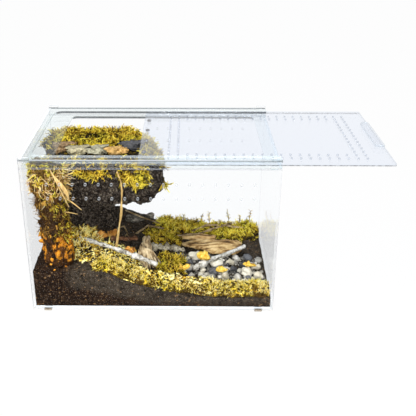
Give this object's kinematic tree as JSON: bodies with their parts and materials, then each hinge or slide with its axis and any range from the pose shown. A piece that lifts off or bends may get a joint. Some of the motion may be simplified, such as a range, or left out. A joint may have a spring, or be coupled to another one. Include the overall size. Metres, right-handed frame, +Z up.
{
  "type": "reptile enclosure",
  "caption": "Clear acrylic reptile enclosure with vented panels and a perforated lid that slides open along side rails, planted with soil, moss, bark, twigs and pebbles.",
  "frame": {"origin": "Centre of the tank's 300 x 200 mm footprint, on the table under the feet.", "axes": "+X to the right, the way the lid draws out; +Y from the vented front panel to the back panel; +Z up."},
  "size_m": [0.4293, 0.2, 0.205],
  "materials": {
    "clear_acrylic": "clear cast acrylic sheet, polished faces, laser-cut edges",
    "foot_rubber": "dark pads, matt",
    "magnet_nickel": "nickel-plated discs",
    "soil": "loose dark brown substrate of soil and bark fibre",
    "peat": "bound dark peat and tree-fern fibre, granular",
    "cork_bark": "rough cork bark, orange brown",
    "moss": "dry golden to olive moss",
    "stone_lichen": "grey stone with pale lichen",
    "stone_pale": "pale cream pebble",
    "stone_grey": "grey pebble",
    "stone_black": "charcoal pebble",
    "root_wood": "ribbed brown root wood",
    "lichen_bark": "grey bark crusted with lichen",
    "bark_slab": "weathered tan bark with long grain",
    "driftwood": "dark driftwood with a pale cut end",
    "birch": "white birch bark with dark flecks",
    "dry_stalk": "dry tan stalk",
    "dark_twig": "thin brown twig",
    "leaf_yellow": "dry yellow leaf",
    "leaf_brown": "dry brown leaf"
  },
  "bodies": {
    "tank": {"base_panel": "clear_acrylic", "front_panel": "clear_acrylic", "back_panel": "clear_acrylic", "left_panel": "clear_acrylic", "right_panel": "clear_acrylic", "slide_frame": "clear_acrylic", "support_frame": "clear_acrylic", "foot_front_left": "foot_rubber", "foot_front_right": "foot_rubber", "foot_back_left": "foot_rubber", "foot_back_right": "foot_rubber", "soil": "soil", "hide_ledge": "peat", "hide_wall": "peat", "bark_log": "cork_bark", "moss_cap": "moss", "moss_drape": "moss", "moss_mound": "moss", "moss_front": "moss", "moss_middle": "moss", "moss_side": "moss", "moss_back": "moss", "root_stump": "root_wood", "lichen_stone": "stone_lichen", "pebbles_pale": "stone_pale", "pebbles_grey": "stone_grey", "pebbles_black": "stone_black", "lichen_branch": "lichen_bark", "root_stick": "root_wood", "bark_slab_low": "bark_slab", "bark_slab_high": "bark_slab", "driftwood": "driftwood", "twig_left": "birch", "twig_right": "birch", "stalk": "dry_stalk", "branch_long": "dark_twig", "branch_short": "dark_twig", "leaves_yellow": "leaf_yellow", "leaves_brown": "leaf_brown"},
    "lid": {"lid_panel": "clear_acrylic", "lid_pull": "clear_acrylic", "lid_magnets": "magnet_nickel"}
  },
  "joints": [
    {"name": "lid_slide", "type": "slide", "parent": "tank", "child": "lid", "axis": [1, 0, 0], "range_m": [-0.132, 0.165]}
  ]
}
